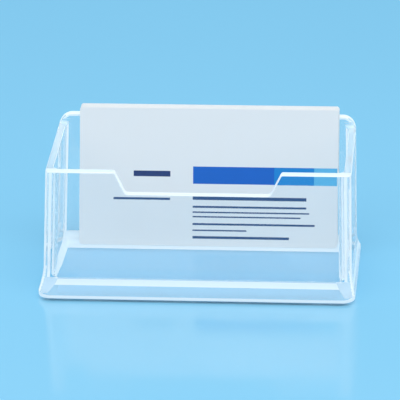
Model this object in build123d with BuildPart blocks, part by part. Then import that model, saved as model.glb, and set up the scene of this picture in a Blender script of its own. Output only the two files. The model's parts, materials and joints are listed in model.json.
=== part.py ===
# Business card holder stand: a clear one-piece moulding whose open pocket leans back over a flared foot,
# with a short stack of loose cards standing in it.
# Frame: X to the right, Y to the back, Z up, origin on the table under the middle of the whole object.
import os
from math import asin, atan2, cos, degrees, hypot, radians, sin, sqrt, tan

from build123d import *

os.makedirs("parts", exist_ok=True)

# Cards, in millimetres
card_count = 6
card_width = 91.0
card_height = 48.4
card_thickness = 0.18
card_corner_radius = 1.0
card_gap = 0.03  # air between two cards
card_fan = 0.3  # the rear card stands this far to the right of the front card
stack_offset = 0.9  # middle of the stack, to the right of the holder's middle
side_room = 4.4  # between a card in the middle and each side wall, at the front rim
floor_clearance = 0.05  # under the cards
rear_contact = 44.0  # degrees round the scoop, where the rear card stands
back_clearance = 0.15  # rear card to the top of the back wall

# Holder, in millimetres and degrees
mouth_depth = 40.9  # front face to back face, measured level
back_height = 48.2  # top of the back wall, above the table
front_drop = 7.25  # front rim below the top of the back wall
side_drop = 3.6  # side rim below it, where the two meet
rim_sweep = 2.5  # radius of the side rim curving up into the back wall
wall = 2.5
lean = 14.0  # front and back walls, from upright
side_draft = 1.0  # each side wall closes in by this as it rises
outer_corner_radius = 1.5
pocket_round = 2.2  # upright corners and floor edges of the pocket
back_corner_radius = 4.6  # upper corners of the back wall

# Floor and foot
floor_thickness = 1.8
scoop_radius = 6.0  # floor curving up into the back wall
hollow_depth = 1.4  # under the floor, inside the ring that the holder stands on
foot_toe = 6.15  # foot in front of the front wall, at the table
foot_heel = 7.95  # foot behind the back wall, at the table
foot_side = 1.1  # foot outside each side wall, at the table
foot_corner_radius = 4.6
ring_height = 0.6  # of the ring, which holds the lip clear of the table
ring_inset = 2.0  # foot's edge to the outside of the ring
ring_width = 3.5
lip_height = 2.0  # top of the lip, above the table
lip_round = 0.6
lip_trim = 0.2  # taken off the flare all round by the foot's plan, which leaves the lip
flare_height = 9.6  # where the walls begin to curve out to the foot

# Thumb notch in the front wall
notch_bottom_width = 49.4
notch_flank = 3.8  # each flank goes out by this as it rises
notch_depth = 7.1
notch_bottom_radius = 1.4
notch_top_radius = 1.0

# Worked out from the sizes above
slope = tan(radians(lean))
draft = tan(radians(side_draft))
level_wall = wall / cos(radians(lean))
level_side_wall = wall / cos(radians(side_draft))
floor_top = hollow_depth + floor_thickness
front_height = back_height - front_drop
side_back_height = back_height - side_drop
rear_reach = max(foot_heel, back_height * slope)
overall_depth = foot_toe + mouth_depth + rear_reach
foot_front = -overall_depth / 2
front_foot_line = foot_front + foot_toe  # front face carried down to the table
back_foot_line = front_foot_line + mouth_depth  # back face carried down to the table
foot_back = back_foot_line + foot_heel
foot_depth = foot_back - foot_front
foot_middle = (foot_front + foot_back) / 2
half_width_at_table = card_width / 2 + side_room + level_side_wall + front_height * draft
half_foot_width = half_width_at_table + foot_side
notch_top_half = notch_bottom_width / 2 + notch_flank
above = back_height + wall  # clear of everything, for cuts that leave through the top


def front_y(z):
    return front_foot_line + z * slope


def back_y(z):
    return back_foot_line + z * slope


def half_width(z):
    return half_width_at_table - z * draft


# Pocket: the space between the four walls, down to the floor
pocket_front = front_y(0) + level_wall
pocket_back = back_y(0) - level_wall
pocket_half = half_width_at_table - level_side_wall
with BuildPart() as pocket:
    with BuildSketch(Plane.YZ) as side_outline:
        with BuildLine():
            Polyline(
                (pocket_front + floor_top * slope, floor_top),
                (pocket_back + floor_top * slope, floor_top),
                (pocket_back + above * slope, above),
                (pocket_front + above * slope, above),
                close=True,
            )
        make_face()
        fillet(side_outline.vertices().group_by(Axis.Y)[0].sort_by(Axis.X)[-1], scoop_radius)
    extrude(amount=half_foot_width, both=True)
    with BuildSketch(Plane.XZ):
        with BuildLine():
            Polyline(
                (-pocket_half, 0),
                (pocket_half, 0),
                (pocket_half - above * draft, above),
                (-pocket_half + above * draft, above),
                close=True,
            )
        make_face()
    extrude(amount=overall_depth, both=True, mode=Mode.INTERSECT)
    side_edges = pocket.edges().filter_by(
        lambda edge: abs(edge.center().X) > pocket_half / 2 and edge.center().Z < above - pocket_round
    )
    front_floor_edge = pocket.edges().filter_by(Axis.X).sort_by(Axis.Y)[0]
    fillet([*side_edges, front_floor_edge], pocket_round)

# Holder: side outline swept across, trimmed by the front outline and by the foot's plan
down_the_wall = (-sin(radians(lean)), -cos(radians(lean)))
down_the_side = (sin(radians(side_draft)), -cos(radians(side_draft)))
with BuildPart() as holder:
    with BuildSketch(Plane.YZ):
        with BuildLine():
            front_flare = (front_y(flare_height), flare_height)
            back_flare = (back_y(flare_height), flare_height)
            front_top = (front_y(back_height), back_height)
            back_top = (back_y(back_height), back_height)
            toe = (foot_front - lip_trim, lip_height)
            heel = (foot_back + lip_trim, lip_height)
            Polyline(toe, (toe[0], 0), (heel[0], 0), heel)
            TangentArc(front_flare, toe, tangent=down_the_wall)
            TangentArc(back_flare, heel, tangent=down_the_wall)
            Polyline(front_flare, front_top, back_top, back_flare)
        make_face()
    extrude(amount=half_foot_width + wall, both=True)
    with BuildSketch(Plane.XZ):
        with BuildLine():
            side_flare = (half_width(flare_height), flare_height)
            side_top = (half_width(back_height), back_height)
            side_lip = (half_foot_width + lip_trim, lip_height)
            TangentArc(side_flare, side_lip, tangent=down_the_side)
            Line(side_lip, (side_lip[0], 0))
            Line(side_flare, side_top)
            mirror(about=Plane.YZ)
            Line((-side_lip[0], 0), (side_lip[0], 0))
            Line((-side_top[0], back_height), side_top)
        make_face()
    extrude(amount=overall_depth, both=True, mode=Mode.INTERSECT)
    # The back wall's top reaches behind the foot, so the plan trims the flare and the lip alone
    with BuildSketch(Plane.XY):
        with Locations((0, foot_middle)):
            Rectangle(2 * half_foot_width + wall, foot_depth + wall)
            RectangleRounded(2 * half_foot_width, foot_depth, foot_corner_radius, mode=Mode.SUBTRACT)
    extrude(amount=flare_height, mode=Mode.SUBTRACT)
    wall_corners = holder.edges().filter_by(lambda edge: edge.bounding_box().size.Z > back_height / 2)
    fillet(wall_corners, outer_corner_radius)
    add(pocket.part, mode=Mode.SUBTRACT)
    # Rim: level across the front wall, rising along the sides to the back wall
    side_rim_end = (pocket_back + side_back_height * slope, side_back_height)
    with BuildSketch(Plane.YZ) as over_the_rim:
        with BuildLine():
            Polyline(
                (foot_front, front_height),
                (front_y(front_height), front_height),
                side_rim_end,
                (pocket_back + above * slope, above),
                (foot_front, above),
                close=True,
            )
        make_face()
        fillet(over_the_rim.vertices().sort_by_distance(side_rim_end)[0], rim_sweep)
    extrude(amount=half_foot_width, both=True, mode=Mode.SUBTRACT)
    # Upper corners of the back wall
    corner_z = back_height - back_corner_radius
    corner_x = half_width(corner_z) - back_corner_radius / cos(radians(side_draft))
    outside_x = half_width(0)
    with BuildSketch(Plane.XZ):
        with BuildLine():
            Polyline(
                (corner_x, corner_z),
                (outside_x, corner_z + (outside_x - corner_x) * draft),
                (outside_x, above),
                (corner_x, above),
                close=True,
            )
        make_face()
        with Locations((corner_x, corner_z)):
            Circle(back_corner_radius, mode=Mode.SUBTRACT)
        mirror(about=Plane.YZ)
    extrude(amount=overall_depth, both=True, mode=Mode.SUBTRACT)
    # Thumb notch
    with BuildSketch(Plane.XZ.offset(-foot_front)) as notch:
        with BuildLine():
            notch_floor = front_height - notch_depth
            mouth_half = notch_top_half + wall * notch_flank / notch_depth
            Polyline(
                (-mouth_half, front_height + wall),
                (-notch_bottom_width / 2, notch_floor),
                (notch_bottom_width / 2, notch_floor),
                (mouth_half, front_height + wall),
                close=True,
            )
        make_face()
        fillet(notch.vertices().group_by(Axis.Y)[0], notch_bottom_radius)
    extrude(amount=-(pocket_front + above * slope - foot_front), mode=Mode.SUBTRACT)
    notch_lips = holder.edges().filter_by(
        lambda edge: edge.bounding_box().size.Y > wall / 2
        and edge.bounding_box().size.X < wall
        and abs(abs(edge.center().X) - notch_top_half) < wall
        and edge.center().Z > notch_floor + notch_depth / 2
    )
    fillet(notch_lips, notch_top_radius)
    # Standing ring: cut away outside it, up to the lip, and hollowed inside it, up to the floor
    with BuildSketch(Plane.XY):
        with Locations((0, foot_middle)):
            Rectangle(2 * half_foot_width + wall, foot_depth + wall)
            ring_length = 2 * (half_foot_width - ring_inset)
            ring_depth = foot_depth - 2 * ring_inset
            RectangleRounded(ring_length, ring_depth, foot_corner_radius, mode=Mode.SUBTRACT)
    extrude(amount=ring_height, mode=Mode.SUBTRACT)
    with BuildSketch(Plane.XY):
        with Locations((0, foot_middle)):
            RectangleRounded(ring_length - 2 * ring_width, ring_depth - 2 * ring_width, foot_corner_radius)
    extrude(amount=hollow_depth, mode=Mode.SUBTRACT)
    under_the_lip = holder.faces().filter_by(Axis.Z).sort_by(
        lambda face: abs(face.center().Z - ring_height)
    )[0]
    fillet(under_the_lip.outer_wire().edges(), lip_round)

holder.part.label = "holder"
export_step(holder.part, "parts/holder.step")

# Cards: they lean on the top of the back wall, and each one has slid down to the scoop or the floor
scoop_y = pocket_back + floor_top * slope - scoop_radius * tan(radians(45 - lean / 2))
scoop_z = floor_top + scoop_radius
contact_radius = scoop_radius - floor_clearance
rear_y = scoop_y + contact_radius * sin(radians(rear_contact))
rear_z = scoop_z - contact_radius * cos(radians(rear_contact))
run = pocket_back + back_height * slope - rear_y
rise = back_height - rear_z
card_lean = atan2(run, rise) - asin(back_clearance / hypot(run, rise))
card_pitch = card_thickness + card_gap
towards_front = (0, -cos(card_lean), sin(card_lean))
print("cards lean", round(degrees(card_lean), 2), "lift", round(sin(card_lean), 5), round(cos(card_lean), 5))


def resting_place(depth):
    """Lower rear edge of a card that stands this far in front of the rear card."""
    y = rear_y - depth * cos(card_lean) - scoop_y
    z = rear_z + depth * sin(card_lean) - scoop_z
    along = y * sin(card_lean) + z * cos(card_lean)
    slide = along + sqrt(along**2 + contact_radius**2 - y**2 - z**2)
    if y < slide * sin(card_lean):  # in front of the scoop, on the flat floor
        slide = (z + contact_radius) / cos(card_lean)
    return scoop_y + y - slide * sin(card_lean), scoop_z + z - slide * cos(card_lean)


for number in range(1, card_count + 1):
    foot_y, foot_z = resting_place((card_count - number) * card_pitch)
    fan = card_fan * ((number - 1) / (card_count - 1) - 0.5)
    foot = (stack_offset + fan, foot_y, foot_z)
    with BuildPart() as card:
        with BuildSketch(Plane(origin=foot, x_dir=(1, 0, 0), z_dir=towards_front)):
            RectangleRounded(card_width, card_height, card_corner_radius, align=(Align.CENTER, Align.MIN))
        extrude(amount=card_thickness)
    card.part.label = f"card_{number:02d}"
    export_step(card.part, f"parts/card_{number:02d}.step")
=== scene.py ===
# %% [markdown]
# A business card holder stand is one clear plastic moulding, an open box that leans back over a flared
# foot, with a short stack of cards standing in it. The solids come from the CAD model, already in place
# and in metres, so the steps here only give them their finish, a floor, some light and a camera.

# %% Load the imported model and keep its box
import json
import math

import bmesh
import bpy
from mathutils import Matrix, Vector

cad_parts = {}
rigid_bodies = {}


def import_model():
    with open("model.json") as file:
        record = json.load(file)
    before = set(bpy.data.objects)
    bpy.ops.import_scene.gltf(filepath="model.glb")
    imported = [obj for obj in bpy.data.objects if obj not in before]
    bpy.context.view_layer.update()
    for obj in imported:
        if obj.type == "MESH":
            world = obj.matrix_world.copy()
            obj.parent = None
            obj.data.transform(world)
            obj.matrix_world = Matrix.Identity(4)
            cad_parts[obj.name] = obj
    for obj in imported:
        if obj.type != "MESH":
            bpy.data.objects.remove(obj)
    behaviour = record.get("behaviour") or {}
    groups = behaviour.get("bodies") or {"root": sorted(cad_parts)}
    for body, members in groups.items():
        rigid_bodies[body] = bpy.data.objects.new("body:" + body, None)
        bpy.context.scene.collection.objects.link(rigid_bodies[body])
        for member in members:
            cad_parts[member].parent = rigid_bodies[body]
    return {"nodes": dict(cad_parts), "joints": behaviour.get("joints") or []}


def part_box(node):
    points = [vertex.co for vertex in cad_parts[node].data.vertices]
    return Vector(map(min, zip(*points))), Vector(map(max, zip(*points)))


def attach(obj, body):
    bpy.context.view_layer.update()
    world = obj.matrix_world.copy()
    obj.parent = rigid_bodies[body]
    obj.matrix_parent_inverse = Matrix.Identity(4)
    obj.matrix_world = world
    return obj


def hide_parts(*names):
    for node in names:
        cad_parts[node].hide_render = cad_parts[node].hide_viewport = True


MM = 0.001
bpy.ops.object.select_all(action="SELECT")
bpy.ops.object.delete()
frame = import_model()
bpy.ops.object.select_all(action="DESELECT")
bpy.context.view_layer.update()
cards = sorted(name for name in frame["nodes"] if name.startswith("card_"))

# %% [markdown]
# The photograph was taken with a long lens from a little above and a little to the right. A camera could
# be shifted to put the holder low in the frame, but the shift would stay in every other view. So the
# camera is aimed slightly above the holder instead, and rolled by the degree that the photograph is.

# %% Where the camera stands
VIEW_AZIMUTH = math.radians(5.36)
VIEW_ELEVATION = math.radians(21.23)
VIEW_ROLL = math.radians(-1.01)
VIEW_DISTANCE = 1123.5 * MM
RIM_BEHIND_TOE = 16.32 * MM
RIM_HEIGHT = 22.6 * MM
AIM_RIGHT = 0.60 * MM
AIM_UP = 8.29 * MM

holder_low, holder_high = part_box("holder")
rim_point = Vector((0.0, holder_low.y + RIM_BEHIND_TOE, RIM_HEIGHT))
towards_camera = Vector((
    math.sin(VIEW_AZIMUTH) * math.cos(VIEW_ELEVATION),
    -math.cos(VIEW_AZIMUTH) * math.cos(VIEW_ELEVATION),
    math.sin(VIEW_ELEVATION),
))
level_right = Vector((math.cos(VIEW_AZIMUTH), math.sin(VIEW_AZIMUTH), 0.0))
level_up = towards_camera.cross(level_right)
picture_right = level_right * math.cos(VIEW_ROLL) + level_up * math.sin(VIEW_ROLL)
picture_up = level_up * math.cos(VIEW_ROLL) - level_right * math.sin(VIEW_ROLL)
eye = rim_point + towards_camera * VIEW_DISTANCE
aim = rim_point + picture_right * AIM_RIGHT + picture_up * AIM_UP
print("eye", [round(v, 4) for v in eye], "aim", [round(v, 4) for v in aim])

# %% Camera
FILM_WIDTH = 36.0
FOCAL_PIXELS = 3280.0
PICTURE_PIXELS = 400.0
NEAREST = 0.01

backwards = (eye - aim).normalized()
rightwards = (picture_right - backwards * picture_right.dot(backwards)).normalized()
upwards = backwards.cross(rightwards)
bpy.ops.object.camera_add()
camera = bpy.context.object
camera.name = "camera"
camera.matrix_world = Matrix((
    (rightwards.x, upwards.x, backwards.x, eye.x),
    (rightwards.y, upwards.y, backwards.y, eye.y),
    (rightwards.z, upwards.z, backwards.z, eye.z),
    (0.0, 0.0, 0.0, 1.0),
))
camera.data.sensor_width = FILM_WIDTH
camera.data.lens = FILM_WIDTH * FOCAL_PIXELS / PICTURE_PIXELS
camera.data.clip_start = NEAREST
bpy.context.scene.camera = camera
print("lens", round(camera.data.lens, 1), "mm")

# %% [markdown]
# Shader maths is easier to read as Python than as a drawing of nodes. Wire holds one output socket:
# adding, multiplying or comparing wires adds Math nodes, and its node method makes any other node.


# %% Writing shader maths as Python
class Wire:
    """One output of a material's nodes."""

    def __init__(self, tree, socket=None):
        self.tree = tree
        self.socket = socket

    def node(self, kind, settings=None, inputs=None):
        """A new node of that kind: its settings are set first, then its sockets are set or linked."""
        new = self.tree.nodes.new(kind)
        for name, value in (settings or {}).items():
            if name == "stops":
                stops = new.color_ramp.elements
                while len(stops) < len(value):
                    stops.new(1.0)
                for stop, (place, colour) in zip(stops, value):
                    stop.position = place
                    stop.color = colour
            else:
                setattr(new, name, value)
        for name, value in (inputs or {}).items():
            if isinstance(value, Wire):
                self.tree.links.new(value.socket, new.inputs[name])
            else:
                new.inputs[name].default_value = value
        return Wire(self.tree, new.outputs[0] if len(new.outputs) else None)

    def out(self, name):
        """Another output of the same node."""
        return Wire(self.tree, self.socket.node.outputs[name])

    def clamped(self):
        """The same sum, held between 0 and 1."""
        self.socket.node.use_clamp = True
        return self

    def between(self, first, second):
        """A shader that goes from the first to the second as this wire goes from 0 to 1."""
        return self.node("ShaderNodeMixShader", None, {0: self, 1: first, 2: second})

    def maths(self, operation, first, second):
        return self.node("ShaderNodeMath", {"operation": operation}, {0: first, 1: second})

    def __add__(self, other):
        return self.maths("ADD", self, other)

    def __radd__(self, other):
        return self.maths("ADD", other, self)

    def __mul__(self, other):
        return self.maths("MULTIPLY", self, other)

    def __rmul__(self, other):
        return self.maths("MULTIPLY", other, self)

    def __gt__(self, other):
        return self.maths("GREATER_THAN", self, other)

    def __lt__(self, other):
        return self.maths("LESS_THAN", self, other)


# %% Starting a finish and putting it on
def new_finish(name):
    """An empty material, and a wire to begin its nodes with."""
    finish = bpy.data.materials.new(name)
    finish.use_nodes = True
    finish.node_tree.nodes.clear()
    return finish, Wire(finish.node_tree)


def wear(piece, finish):
    """Gives a piece one finish all over."""
    piece.data.materials.clear()
    piece.data.materials.append(finish)


# %% [markdown]
# The stand is on a pale, slightly glossy floor with no corner behind it. A sheet that curves up at the
# back is the studio's way, but it works from one side only. One large flat sheet works from every side.

# %% Floor
FLOOR_SIDE = 8.0
FLOOR_COLOUR = (0.24, 0.57, 0.81, 1.0)
FLOOR_ROUGHNESS = 0.12

bpy.ops.mesh.primitive_plane_add(size=FLOOR_SIDE)
floor = bpy.context.object
floor.name = "floor"
floor_paint, start = new_finish("floor_paint")
surface = start.node("ShaderNodeBsdfPrincipled", None, {
    "Base Color": FLOOR_COLOUR,
    "Roughness": FLOOR_ROUGHNESS,
})
start.node("ShaderNodeOutputMaterial", None, {"Surface": surface})
wear(floor, floor_paint)
print("floor", FLOOR_SIDE, "m square")

# %% [markdown]
# Clear plastic shows what is around it, so most of the light is an even white surround, as in a light
# tent. What is seen in the plastic, and past it, is a blue backdrop that pales towards the top. Both are
# in the world: Light Path tells a ray that looks from one that only brings light.

# %% Surround and backdrop
SURROUND_COLOUR = (1.0, 1.0, 1.0, 1.0)
SURROUND_STRENGTH = 0.62
BACKDROP = (
    (0.0, (0.22, 0.57, 0.85, 1.0)),
    (0.12, (0.10, 0.48, 0.82, 1.0)),
    (0.75, (0.16, 0.57, 0.88, 1.0)),
    (1.0, (0.90, 0.96, 1.0, 1.0)),
)

world = bpy.data.worlds.new("surround")
bpy.context.scene.world = world
world.use_nodes = True
world.node_tree.nodes.clear()
start = Wire(world.node_tree)
tent = start.node("ShaderNodeBackground", None, {"Color": SURROUND_COLOUR, "Strength": SURROUND_STRENGTH})
direction = start.node("ShaderNodeTexCoord").out("Generated")
height = start.node("ShaderNodeSeparateXYZ", None, {"Vector": direction}).out("Z")
sheet = start.node("ShaderNodeValToRGB", {"stops": BACKDROP}, {"Fac": height})
backdrop = start.node("ShaderNodeBackground", None, {"Color": sheet})
ray = start.node("ShaderNodeLightPath")
looking = ray.out("Is Camera Ray") + ray.out("Is Glossy Ray") + ray.out("Is Transmission Ray")
start.node("ShaderNodeOutputWorld", None, {"Surface": looking.clamped().between(tent, backdrop)})
bpy.context.scene.view_settings.view_transform = "Standard"
print("surround", SURROUND_STRENGTH, "backdrop stops", len(BACKDROP))

# %% [markdown]
# Four wide lamps shape the light gently: one above, one at each side, and a weak one behind that lights
# the cards' edges. Lamps seen through the plastic would be hard white squares, so rays that pass through
# it don't meet them, and the one behind isn't mirrored in the floor either.

# %% Lamps
LAMP_AIM = Vector((0.0, 0.0, 0.02))
LAMPS = (
    ("lamp_above", Vector((0.1, -0.2, 0.9)), 0.7, 4.0, True),
    ("lamp_left", Vector((-0.7, -0.5, 0.5)), 0.5, 1.6, True),
    ("lamp_right", Vector((0.8, -0.3, 0.4)), 0.5, 1.4, True),
    ("lamp_behind", Vector((-0.3, 0.9, 0.4)), 0.6, 1.2, False),
)


def soft_lamp(name, place, width, watts, mirrored):
    """A square lamp, turned to face the holder."""
    bpy.ops.object.light_add(type="AREA", location=place)
    lamp = bpy.context.object
    lamp.name = name
    lamp.rotation_euler = (LAMP_AIM - place).to_track_quat("-Z", "Y").to_euler()
    lamp.data.size = width
    lamp.data.energy = watts
    lamp.visible_transmission = False
    lamp.visible_glossy = mirrored


for lamp in LAMPS:
    soft_lamp(*lamp)
print("lamps", len(LAMPS))

# %% [markdown]
# The holder is one injection moulding. Its CAD solid arrives as loose triangles with knife-sharp rims,
# and a CAD mesh is never changed, so a copy is dressed in its place. The copy's triangles are merged,
# and flat faces are made whole again.

# %% A copy of the moulding
WELD = 1e-6
NEARLY_FLAT = math.radians(0.2)

solid = frame["nodes"]["holder"]
holder = solid.copy()
holder.data = solid.data.copy()
holder.name = "holder_moulding"
holder.parent = None
bpy.context.scene.collection.objects.link(holder)
bpy.context.view_layer.objects.active = holder
holder.select_set(True)
for key in list(holder.keys()):
    del holder[key]
bpy.ops.mesh.customdata_custom_splitnormals_clear()
bpy.ops.object.mode_set(mode="EDIT")
bpy.ops.mesh.select_all(action="SELECT")
bpy.ops.mesh.remove_doubles(threshold=WELD)
bpy.ops.mesh.dissolve_limited(angle_limit=NEARLY_FLAT)
bpy.ops.mesh.select_all(action="DESELECT")
print("faces of the copy", len(bmesh.from_edit_mesh(holder.data).faces))

# %% [markdown]
# A moulding's rims are never sharp: they are eased by a fraction of a millimetre, and that round is what
# catches the light. A bevel modifier would ease every edge of the piece, also those that are meant to
# stay crisp inside, so only sharp edges above the rim's level are selected and bevelled.

# %% Eased rims
RIM_LEVEL = 30.0 * MM
RIM_EASE = 0.4 * MM
EASE_STEPS = 3
SHARP_ANGLE = math.radians(40)

bpy.ops.mesh.select_mode(type="EDGE")
shape = bmesh.from_edit_mesh(holder.data)
eased = 0
for edge in shape.edges:
    is_high = min(vertex.co.z for vertex in edge.verts) > RIM_LEVEL
    if is_high and len(edge.link_faces) == 2 and edge.calc_face_angle() > SHARP_ANGLE:
        edge.select_set(True)
        eased += 1
bmesh.update_edit_mesh(holder.data)
bpy.ops.mesh.bevel(offset=RIM_EASE, segments=EASE_STEPS, clamp_overlap=False)
print("rim edges eased", eased)

# %% [markdown]
# In a clear wall, thin white lines and bands show where its far side turns: behind the foot's flare,
# beside the pocket's corners, under the back wall's top. Here they are painted highlights. A pattern on
# coordinates could paint them, but then each line would need its own sum in the shader. Scoring is
# simpler:
# a plane cuts an edge into some flat faces, the shape stays as it is, and each side of the cut can carry
# its own share of painted highlight.

# %% Scoring a line into chosen faces
FOOT_TOE = 6.15 * MM
LEAN = math.radians(14)
ACROSS_THE_LEAN = (0.0, math.cos(LEAN), -math.sin(LEAN))
STRAIGHT_UP = (0.0, 0.0, 1.0)
# A face's normal has a length of 1, so its x, y and z each say how squarely the face looks that way.
BARELY = 0.1
A_LITTLE = 0.2
SLANTED = 0.25
CLEARLY = 0.3
HALF = 0.5
MOSTLY = 0.6
NEARLY = 0.9
SQUARELY = 0.97


def behind_front(place):
    """How far a point is behind the front face, on the level."""
    return place.y - (holder_low.y + FOOT_TOE + place.z * math.tan(LEAN))


def plane_behind_front(depth):
    """A point, at floor level, of the leaning plane that far behind the front face."""
    return (0.0, holder_low.y + FOOT_TOE + depth, 0.0)


def outwards(place, facing):
    """How far a face turns to the front, or to the rear if it is in the rear half."""
    return facing.y if place.y > 0 else -facing.y


def score(chosen, point, normal):
    """Cuts an edge into the chosen faces where a plane meets them."""
    bpy.ops.mesh.select_mode(type="FACE")
    bpy.ops.mesh.select_all(action="DESELECT")
    shape = bmesh.from_edit_mesh(holder.data)
    for face in shape.faces:
        face.select_set(chosen(face.calc_center_median(), face.normal))
    bmesh.update_edit_mesh(holder.data)
    bpy.ops.mesh.bisect(plane_co=point, plane_no=normal)


# %% Lines along the front rim and round the foot's flare
LEVEL_WALL = 2.58 * MM
FLARE_TOP = 9.6 * MM
FLARE_BOTTOM = 1.0 * MM
SHEER_TOP = 6.0 * MM
BAND_TOP = 5.6 * MM
BAND_BOTTOM = 4.0 * MM
LIP_ROUND = 2.0 * MM
POCKET_HALF = 50.6 * MM
LEAST_SLOPE = 0.03


def is_rim(place, facing):
    return facing.z > NEARLY and place.z > RIM_LEVEL


def is_flare(place, facing):
    """The foot's flare, in front and behind."""
    slopes = LEAST_SLOPE < facing.z < SQUARELY and outwards(place, facing) > A_LITTLE
    return slopes and FLARE_BOTTOM < place.z < FLARE_TOP


def is_end_flare(place, facing):
    """The foot's flare at its left and right ends."""
    faces_end = abs(facing.x) > SLANTED and abs(facing.y) < A_LITTLE
    return faces_end and LIP_ROUND < place.z < FLARE_TOP and abs(place.x) > POCKET_HALF


score(is_rim, plane_behind_front(LEVEL_WALL), ACROSS_THE_LEAN)
for level in (SHEER_TOP, BAND_TOP, BAND_BOTTOM):
    score(is_flare, (0.0, 0.0, level), STRAIGHT_UP)
for level in (BAND_TOP, BAND_BOTTOM):
    score(is_end_flare, (0.0, 0.0, level), STRAIGHT_UP)
print("faces after the flare's lines", len(bmesh.from_edit_mesh(holder.data).faces))

# %% Lines round the top of the back wall and down the end walls
MOUTH_DEPTH = 40.9 * MM
SAME_PLANE = 0.05 * MM
TOP_BAND = 1.0 * MM
BACK_CORNER = 4.6 * MM
ARC_MIDDLE = 6.6 * MM
ARC_TURNS = (-60, -30, 30, 60)
REAR_STRIP = 3.5 * MM
LEANING_SQUARELY = 0.96


def is_back_inside(place, facing):
    """The back wall's face towards the cards."""
    in_plane = abs(behind_front(place) - MOUTH_DEPTH + LEVEL_WALL) < SAME_PLANE
    return in_plane and facing.y < -LEANING_SQUARELY


def is_end_wall(place, facing):
    return abs(facing.x) > SQUARELY and abs(place.x) > POCKET_HALF and place.z > FLARE_TOP


score(is_back_inside, (0.0, 0.0, holder_high.z - TOP_BAND), STRAIGHT_UP)
score(is_end_wall, plane_behind_front(MOUTH_DEPTH - REAR_STRIP), ACROSS_THE_LEAN)
for turn in ARC_TURNS:
    tilt = Vector((math.sin(math.radians(turn)), 0.0, math.cos(math.radians(turn))))
    middle = Vector((math.copysign(holder_high.x - ARC_MIDDLE, turn), 0.0, holder_high.z - BACK_CORNER))
    score(is_back_inside, middle + tilt * (BACK_CORNER - TOP_BAND), tilt)
print("faces after the back wall's lines", len(bmesh.from_edit_mesh(holder.data).faces))

# %% Lines under the lip, beside the pocket's corners and at the foot's mitres
LIP_DEPTH = 2.0 * MM
UNDERSIDE_BOTTOM = 0.4 * MM
UNDERSIDE_TOP = 1.0 * MM
DRAFT = math.tan(math.radians(1))
EDGE_LINE = 1.0 * MM
MITRE_X = 48.6 * MM
MITRE_REACH = 5.2 * MM
MITRE_SLOPE = 0.6


def is_under_lip(place, facing):
    return facing.z < -HALF and UNDERSIDE_BOTTOM < place.z < UNDERSIDE_TOP


def is_upright(place, facing):
    """The front and back walls' outer faces, above the flare."""
    return outwards(place, facing) > MOSTLY and place.z > SHEER_TOP and abs(facing.z) < NEARLY


def is_low_flare(place, facing):
    return is_flare(place, facing) and place.z < SHEER_TOP


foot_back = max(vertex.co.y for vertex in solid.data.vertices if vertex.co.z < LIP_ROUND)
for depth in (holder_low.y + LIP_DEPTH, foot_back - LIP_DEPTH):
    score(is_under_lip, (0.0, depth, 0.0), (0.0, 1.0, 0.0))
for side in (-1.0, 1.0):
    for reach in (POCKET_HALF, POCKET_HALF + EDGE_LINE):
        score(is_upright, (side * reach, 0.0, 0.0), (1.0, 0.0, side * DRAFT))
    for foot_edge, inwards in ((holder_low.y, 1.0), (foot_back, -1.0)):
        corner = (side * MITRE_X, foot_edge + inwards * MITRE_REACH, 0.0)
        score(is_low_flare, corner, (side, inwards * MITRE_SLOPE, 0.0))
print("faces after all lines", len(bmesh.from_edit_mesh(holder.data).faces))

# %% [markdown]
# The moulding is smooth where it bends and flat between. Smooth shading alone would bend the light across
# the flat walls too, so edges over 30 degrees stay sharp and large faces decide the normals.

# %% Smooth bends, flat walls, and the holder's place in the model
SMOOTH_ANGLE = math.radians(30)
LARGEST_FACE_WEIGHT = 100

bpy.ops.object.mode_set(mode="OBJECT")
bpy.ops.object.shade_smooth_by_angle(angle=SMOOTH_ANGLE)
flat_faces = holder.modifiers.new("flat_faces", "WEIGHTED_NORMAL")
flat_faces.keep_sharp = True
flat_faces.weight = LARGEST_FACE_WEIGHT
bpy.ops.object.modifier_apply(modifier=flat_faces.name)
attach(holder, "holder")
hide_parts("holder")
print("holder faces", len(holder.data.polygons))

# %% [markdown]
# Clear plastic looks white wherever its surface turns, because light that is trapped in a wall comes out
# there: at rims, in rounded corners and along the foot's lip. Long chains of mirror bounces would show
# that, at the price of a grainy picture. So that light is painted: each face gets a number, from its
# place and from the way it faces, and the finish mixes in that much painted highlight. First come the
# rims and the back wall's top.

# %% Painted highlight on the rims
BACK_RIM_WHITE = 0.95
BACK_SWEEP_WHITE = 0.10
TOP_BAND_WHITE = 0.75
FRONT_RIM_WHITE = 0.75
RIM_EDGE_WHITE = 0.90
SIDE_RIM_WHITE = 0.36
NOTCH_SIDE_WHITE = 0.60
BACK_ARC_LEVEL = 42.0 * MM
SWEEP_TOP = 1.0 * MM
RIM_SWEEP = 2.6 * MM
FRONT_RIM_DEPTH = LEVEL_WALL + 0.8 * MM
BACK_DEPTH = MOUTH_DEPTH - LEVEL_WALL - 0.1 * MM
SWEEP_DEPTH = MOUTH_DEPTH - LEVEL_WALL - RIM_SWEEP
NARROW_BAND = 200 * MM * MM
NOTCH_HALF = 30 * MM


def is_outboard(place):
    """Past the pocket's side, where a look into the plastic runs along an end wall."""
    if place.z > SHEER_TOP:
        return abs(place.x) > POCKET_HALF - place.z * DRAFT
    near = min(place.y - holder_low.y, foot_back - place.y)
    return abs(place.x) > MITRE_X + (MITRE_REACH - near) * MITRE_SLOPE


def back_rim_white(place, facing):
    """Painted highlight on the back wall's top edge and on the sweep that leads up to it, or None."""
    if behind_front(place) <= BACK_DEPTH:
        return None
    forwards = facing.y < -MOSTLY
    is_sweep = forwards and facing.z > CLEARLY and abs(facing.x) < BARELY
    if is_sweep and place.z < holder_high.z - SWEEP_TOP:
        return BACK_SWEEP_WHITE
    is_edge = facing.z > SLANTED or abs(facing.x) > SLANTED and place.z > BACK_ARC_LEVEL
    return BACK_RIM_WHITE if is_edge and not (is_outboard(place) and forwards) else None


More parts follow.
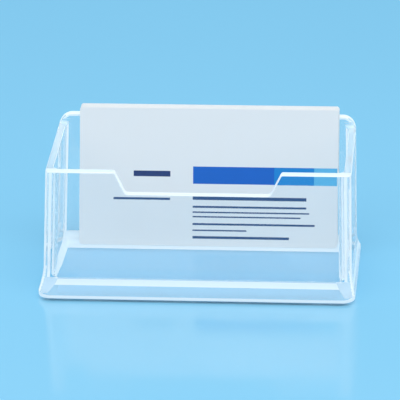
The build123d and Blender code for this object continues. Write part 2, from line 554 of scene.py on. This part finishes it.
def rim_white(face):
    """Painted highlight on a face above the rim's level, or None where no rim is."""
    place, facing = face.center, face.normal
    if place.z <= RIM_LEVEL:
        return None
    white = back_rim_white(place, facing)
    if white is not None:
        return white
    if place.z > BACK_ARC_LEVEL and is_back_inside(place, facing):
        return TOP_BAND_WHITE if face.area < NARROW_BAND else 0.0
    if facing.z > SLANTED:
        if behind_front(place) < FRONT_RIM_DEPTH:
            return FRONT_RIM_WHITE
        is_edge = abs(facing.x) > CLEARLY and behind_front(place) <= SWEEP_DEPTH
        return RIM_EDGE_WHITE if is_edge else SIDE_RIM_WHITE
    is_notch = abs(facing.x) > HALF and abs(place.x) < NOTCH_HALF
    return NOTCH_SIDE_WHITE if is_notch else None


# %% [markdown]
# Inside the pocket the walls are nearly clear. A painted highlight shows as a line in the middle of each
# rounded corner and along the rounded edge of the floor.

# %% Painted highlight inside the pocket
FLOOR_ROUND_WHITE = 0.70
CORNER_LINE_WHITE = 0.95
FRONT_CORNER_WHITE = 0.45
CORNER_WHITE = 0.12
END_INSIDE_WHITE = 0.08
BACK_INSIDE_WHITE = 0.12
FLOOR_TOP = 3.2 * MM
TOUCHING = 0.1 * MM
WALL_SHARE = 0.8
LEVEL_FLOOR = 0.985
CORNER_LINE_FROM = 0.58
CORNER_LINE_TO = 0.84


def is_in_pocket(place):
    inner = LEVEL_WALL * WALL_SHARE < behind_front(place) < MOUTH_DEPTH - LEVEL_WALL * WALL_SHARE
    within_ends = abs(place.x) < POCKET_HALF - place.z * DRAFT + TOUCHING
    return inner and within_ends and place.z > FLOOR_TOP - TOUCHING


def is_front_round(facing):
    """The round between the floor and the front wall, which stays clear."""
    return facing.y > BARELY and abs(facing.x) < CLEARLY


def pocket_white(face):
    """Painted highlight on a face inside the pocket, or None elsewhere."""
    place, facing = face.center, face.normal
    if not is_in_pocket(place):
        return None
    if place.z < FLARE_TOP and BARELY < facing.z < LEVEL_FLOOR:
        return 0.0 if is_front_round(facing) else FLOOR_ROUND_WHITE
    turned = abs(facing.x)
    if turned > SQUARELY:
        return END_INSIDE_WHITE
    if turned > SLANTED:
        if CORNER_LINE_FROM < turned < CORNER_LINE_TO:
            return CORNER_LINE_WHITE
        is_front_end = place.y < 0.0 and turned > CORNER_LINE_TO
        return FRONT_CORNER_WHITE if is_front_end else CORNER_WHITE
    return 0.0 if facing.y > HALF else BACK_INSIDE_WHITE


# %% [markdown]
# The foot ends in a rounded lip, which gets the brightest painted highlight of the whole moulding. Its
# ends flare out below the end walls and meet the front in mitres.

# %% Painted highlight on the foot
LIP_WHITE = 0.95
LEDGE_WHITE = 0.22
END_BAND_WHITE = 0.90
END_FLARE_WHITE = 0.45
FLARE_CORNER_WHITE = 0.80
FOOT_CORNER = 4.6 * MM
LIP_TOP = 2.3 * MM
LIP_BOTTOM = 0.5 * MM
LIP_WIDTH = 1.2 * MM
LIP_FACE = 0.3 * MM


def from_foot_edge(place):
    """How far a point is inside the foot's outline."""
    across = holder_high.x - abs(place.x)
    along = min(place.y - holder_low.y, foot_back - place.y)
    if across < FOOT_CORNER and along < FOOT_CORNER:
        return FOOT_CORNER - math.hypot(FOOT_CORNER - across, FOOT_CORNER - along)
    return min(across, along)


def is_in_band(place):
    return BAND_BOTTOM < place.z < BAND_TOP


def foot_white(face):
    """Painted highlight on the lip and on the foot's ends, or None elsewhere."""
    place, facing = face.center, face.normal
    if place.z < FLARE_TOP / 2 and abs(facing.z) < CLEARLY and from_foot_edge(place) < LIP_FACE:
        return LIP_WHITE
    if place.z < LIP_TOP:
        if facing.z > NEARLY and place.z > LIP_ROUND:
            return LEDGE_WHITE
        if from_foot_edge(place) < LIP_WIDTH and place.z > LIP_BOTTOM and facing.z > -HALF:
            return LIP_WHITE
        return LEDGE_WHITE if facing.z > HALF else 0.0
    if place.z < FLARE_TOP and abs(facing.x) > SLANTED:
        if abs(facing.y) >= A_LITTLE:
            return FLARE_CORNER_WHITE
        return END_BAND_WHITE if is_in_band(place) else END_FLARE_WHITE
    return None


# %% [markdown]
# Outside, the front wall is clear between the pocket's corners. Past them the eye looks along an end
# wall, through a depth of plastic, and that strip gets a pale painted highlight, with a brighter painted
# line at its inner edge.

# %% Painted highlight on the outer faces
END_WALL_WHITE = 0.16
REAR_STRIP_WHITE = 0.75
REAR_CORNER_WHITE = 0.45
REAR_END_WHITE = 0.25
FRONT_CORNER_EDGE_WHITE = 0.90
MITRE_WHITE = 0.40
EDGE_LINE_WHITE = 0.75
FRONT_END_WHITE = 0.30
BAND_WHITE = 0.62
FLARE_WHITE = 0.22
CORNER_TURN = 0.55


def outboard_white(place, facing):
    """Painted highlight on the end walls and on the strips in front of and behind them."""
    turned = abs(facing.x)
    if turned > SQUARELY:
        at_rear = behind_front(place) > MOUTH_DEPTH - REAR_STRIP
        return REAR_STRIP_WHITE if at_rear else END_WALL_WHITE
    is_corner = turned > CORNER_TURN
    if place.y > 0.0:
        return REAR_CORNER_WHITE if is_corner else REAR_END_WHITE
    if is_corner:
        return FRONT_CORNER_EDGE_WHITE
    if place.z < SHEER_TOP:
        return MITRE_WHITE
    beside_pocket = abs(place.x) < POCKET_HALF + EDGE_LINE - place.z * DRAFT
    return EDGE_LINE_WHITE if beside_pocket else FRONT_END_WHITE


def outside_white(face):
    """Painted highlight on what is left: the outer walls and the flare."""
    place, facing = face.center, face.normal
    if is_outboard(place):
        return outboard_white(place, facing)
    if is_low_flare(place, facing):
        return BAND_WHITE if is_in_band(place) else FLARE_WHITE
    return 0.0


# %% A number on every face, for its painted highlight
def painted_highlight_share(face):
    """How much painted highlight this face shows, in place of white light from inside the wall."""
    for rule in (rim_white, pocket_white, foot_white, outside_white):
        white = rule(face)
        if white is not None:
            return white


def number_faces(name, rule):
    """Writes the rule's number on each face of the holder, where the finish can read it."""
    numbers = [rule(face) for face in holder.data.polygons]
    holder.data.attributes.new(name, "FLOAT", "FACE").data.foreach_set("value", numbers)
    return numbers


edge_light = number_faces("edge_light", painted_highlight_share)
print("faces with white in them", sum(value > 0.0 for value in edge_light), "of", len(edge_light))

# %% [markdown]
# Three more numbers describe the plastic. The floor is a little hazy, as cards rub it. The foot and, in
# part, the end walls let a look pass straight through: bent light would show the same floor, only with
# more grain. And the lip overhangs a low ring, and its underside casts a painted shade on the floor below
# it.

# %% Numbers for haze, straight looks and the shade under the lip
FLOOR_HAZE = 0.22
END_WALL_SHEER = 0.65
END_WALL_AREA = 100 * MM * MM
REAR_SHADE = 0.5
FLAT_FLOOR = 0.99


def floor_haze(face):
    return FLOOR_HAZE if face.normal.z > FLAT_FLOOR and face.center.z < FLARE_TOP else 0.0


def passes_straight(face):
    """The share of the light that goes through this face unbent."""
    is_foot = not is_in_pocket(face.center) or is_front_round(face.normal)
    if face.center.z < SHEER_TOP and is_foot:
        return 1.0
    is_wide_end = abs(face.normal.x) > SQUARELY and face.area > END_WALL_AREA
    return END_WALL_SHEER if is_wide_end else 0.0


def shades_floor(face):
    """Faces under the lip, in front and behind, that cast a painted shade on the floor."""
    is_lip = face.center.z <= LIP_TOP and abs(face.normal.y) >= HALF
    if not is_under_lip(face.center, face.normal) and not is_lip:
        return 0.0
    if face.center.y - holder_low.y < LIP_DEPTH:
        return 1.0
    return REAR_SHADE if foot_back - face.center.y < LIP_DEPTH else 0.0


number_faces("haze", floor_haze)
number_faces("sheer", passes_straight)
shade = number_faces("under_the_lip", shades_floor)
print("faces that shade the floor", sum(value > 0.0 for value in shade))

# %% [markdown]
# The plastic is clear polystyrene: colourless, glossy and dense enough to bend light strongly. Its body
# is a glass-like shader with very fine rubbing marks. Light that has bounced in it several times is cut
# short and painted as a soft glow: following it further would cost time and leave dark specks in the
# walls.

# %% Clear plastic: the body of the wall
CLEAR_COLOUR = (0.985, 0.995, 1.0, 1.0)
POLYSTYRENE_BENDING = 1.57
POLISH = 0.015
RUBBING = 0.03
RUBBING_SCALE = 700.0
MOST_BOUNCES = 3.5
GLOW_COLOUR = (0.80, 0.93, 1.0, 1.0)
GLOW_STRENGTH = 0.85

clear_plastic, start = new_finish("clear_plastic_finish")


def face_number(name):
    """The number that a face of the holder carries under this name."""
    return start.node("ShaderNodeAttribute", {"attribute_name": name}).out("Fac")


marks = start.node("ShaderNodeTexNoise", None, {
    "Vector": start.node("ShaderNodeTexCoord").out("Object"),
    "Scale": RUBBING_SCALE,
    "Detail": 3.0,
})
bending_clear = start.node("ShaderNodeBsdfPrincipled", None, {
    "Base Color": CLEAR_COLOUR,
    "Roughness": face_number("haze") + POLISH + RUBBING * marks,
    "IOR": POLYSTYRENE_BENDING,
    "Transmission Weight": 1.0,
})
glow = start.node("ShaderNodeEmission", None, {"Color": GLOW_COLOUR, "Strength": GLOW_STRENGTH})
ray = start.node("ShaderNodeLightPath")
body = (ray.out("Ray Depth") > MOST_BOUNCES).between(bending_clear, glow)
print("bends light", POLYSTYRENE_BENDING)

# %% [markdown]
# Bent light from lamps would leave the cards and the floor in the dark, so rays that bring light pass
# straight through a thin, faintly blue film. Under the lip that film is dark: a painted shade on the
# floor below it. In front it also darkens the lip's mirror image in the floor, a painted dark line on
# which the stand seems to sit.

# %% Clear plastic: light that passes straight, and shade under the lip
THIN_COLOUR = (0.95, 0.975, 0.99, 1.0)
SHADE_COLOUR = (0.04, 0.12, 0.16, 1.0)
ANY_SHADE = 0.25
FULL_SHADE = 0.75

thin_clear = start.node("ShaderNodeBsdfTransparent", None, {"Color": THIN_COLOUR})
shaded_clear = start.node("ShaderNodeBsdfTransparent", None, {"Color": SHADE_COLOUR})
lip = face_number("under_the_lip")
bringing_light = (ray.out("Is Shadow Ray") + ray.out("Is Diffuse Ray")).clamped()
shaded = (bringing_light * (lip > ANY_SHADE) + ray.out("Is Glossy Ray") * (lip > FULL_SHADE)).clamped()
passing = shaded.between(thin_clear, shaded_clear)
straight = (bringing_light + face_number("sheer")).clamped()
wall = straight.between(body, passing)
print("film", THIN_COLOUR[:3], "shade", SHADE_COLOUR[:3])

# %% [markdown]
# The white at edges is a painted highlight, a pale surface with a little light of its own, because it
# stands for light that comes from inside the wall. Each face's number says how much of it shows.

# %% Clear plastic: painted highlight at its edges
# Painted highlight: a pale lit surface with a little emission, mixed in at the plastic's edges.
HIGHLIGHT_COLOUR = (0.66, 0.72, 0.75, 1.0)
HIGHLIGHT_ROUGHNESS = 0.30
HIGHLIGHT_GLOW_COLOUR = (0.86, 0.95, 1.0, 1.0)
HIGHLIGHT_GLOW_STRENGTH = 0.30

painted_edge_highlight = start.node("ShaderNodeBsdfPrincipled", None, {
    "Base Color": HIGHLIGHT_COLOUR,
    "Roughness": HIGHLIGHT_ROUGHNESS,
    "Emission Color": HIGHLIGHT_GLOW_COLOUR,
    "Emission Strength": HIGHLIGHT_GLOW_STRENGTH,
})
whole = face_number("edge_light").between(wall, painted_edge_highlight)
start.node("ShaderNodeOutputMaterial", None, {"Surface": whole})
wear(holder, clear_plastic)
print("clear plastic on", holder.name)

# %% [markdown]
# The cards are cool white card stock, all printed alike on the front: a stripe in three blues and a few
# plain bars. The print could be thin pieces on the card, but ink has no thickness, so it is in the
# finish. Its sizes are measured from the middle of a card's lower edge, across and up.

# %% What is printed on a card
STRIPE_BOTTOM = 21.9 * MM
STRIPE_TOP = STRIPE_BOTTOM + 6.1 * MM
STRIPES = (
    (-5.4 * MM, 23.2 * MM, (0.001, 0.125, 0.540, 1.0)),
    (23.2 * MM, 37.2 * MM, (0.001, 0.230, 0.620, 1.0)),
    (37.2 * MM, 45.3 * MM, (0.110, 0.470, 0.760, 1.0)),
)
# Each bar's left end, right end, lower edge and height, in millimetres.
BARS = (
    (-26.4, -13.4, 24.3, 2.0),
    (-33.4, -13.4, 16.1, 0.8),
    (-5.4, 34.6, 16.3, 1.2),
    (-5.4, 34.6, 13.5, 0.7),
    (-5.4, 35.6, 11.7, 0.5),
    (-5.4, 32.6, 10.1, 0.5),
    (-5.4, 37.6, 7.4, 0.7),
    (-5.4, 13.6, 5.3, 0.5),
    (-5.4, 28.6, 2.6, 0.9),
)
INK = (0.020, 0.045, 0.160, 1.0)
MIX_FACTOR, MIX_FIRST, MIX_SECOND, MIX_COLOUR = 0, 6, 7, 2


def band(value, low, high):
    """1 between low and high, 0 outside."""
    return (value > low) * (value < high)


def paint(mask, under, over):
    """The colour under, with the colour over it where the mask is 1."""
    mix = mask.node("ShaderNodeMix", {"data_type": "RGBA"}, {
        MIX_FACTOR: mask,
        MIX_FIRST: under,
        MIX_SECOND: over,
    })
    return mix.out(MIX_COLOUR)


def printed(stock_and_edge_highlight, front, across, up):
    """The card's colour, painted edge highlight included, with the stripes and bars on its front."""
    colour = stock_and_edge_highlight
    stripe_row = band(up, STRIPE_BOTTOM, STRIPE_TOP) * front
    for left, right, blue in STRIPES:
        colour = paint(band(across, left, right) * stripe_row, colour, blue)
    bars = sum(
        band(across, left * MM, right * MM) * band(up, level * MM, (level + tall) * MM)
        for left, right, level, tall in BARS
    )
    return paint(bars * front, colour, INK)


# %% [markdown]
# Card stock is matt, with a fine grain that can just be felt. Its cut edges and back are painted whiter
# than its face, a painted highlight for the lit top edge.
# Each card has its own finish: a Mapping node lays the print on that card's leaning front, so the
# print moves with its card when the card is lifted out.

# %% Card stock with its print
CARD_THICKNESS = 0.18 * MM
FRONT_SKIN = 0.05 * MM
WHITE_STOCK = (0.81, 0.83, 0.84, 1.0)
# Painted highlight: every face but the printed front is painted this brighter white.
EDGE_HIGHLIGHT = (0.95, 0.96, 0.97, 1.0)
MATT = 0.5
MATT_CHANGE = 0.1
GRAIN = {"Scale": 2500.0, "Detail": 4.0}
GRAIN_RELIEF = {"Strength": 0.08, "Distance": 0.0001}

lift = Vector(frame["joints"][0]["axis"])
card_lean = math.atan2(lift.y, lift.z)


def printed_card(name):
    low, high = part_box(name)
    finish, start = new_finish(name + "_finish")
    place = start.node("ShaderNodeTexCoord").out("Object")
    on_card = start.node("ShaderNodeMapping", {"vector_type": "TEXTURE"}, {
        "Vector": place,
        "Location": ((low.x + high.x) / 2, low.y, low.z + CARD_THICKNESS * math.sin(card_lean)),
        "Rotation": (math.pi / 2 - card_lean, 0.0, 0.0),
    })
    split = start.node("ShaderNodeSeparateXYZ", None, {"Vector": on_card})
    front = split.out("Z") > -FRONT_SKIN
    stock_and_edge_highlight = paint(front, EDGE_HIGHLIGHT, WHITE_STOCK)
    grain = start.node("ShaderNodeTexNoise", None, {"Vector": place, **GRAIN})
    surface = start.node("ShaderNodeBsdfPrincipled", None, {
        "Base Color": printed(stock_and_edge_highlight, front, split.out("X"), split.out("Y")),
        "Roughness": MATT + MATT_CHANGE * grain,
        "Normal": start.node("ShaderNodeBump", None, {"Height": grain, **GRAIN_RELIEF}),
    })
    start.node("ShaderNodeOutputMaterial", None, {"Surface": surface})
    return finish


for name in cards:
    wear(frame["nodes"][name], printed_card(name))
print("cards finished", len(cards), "lean", round(math.degrees(card_lean), 1), "degrees")

# %% [markdown]
# Last, the scene is brought up to date.

# %% Bringing the scene up to date
bpy.context.view_layer.update()
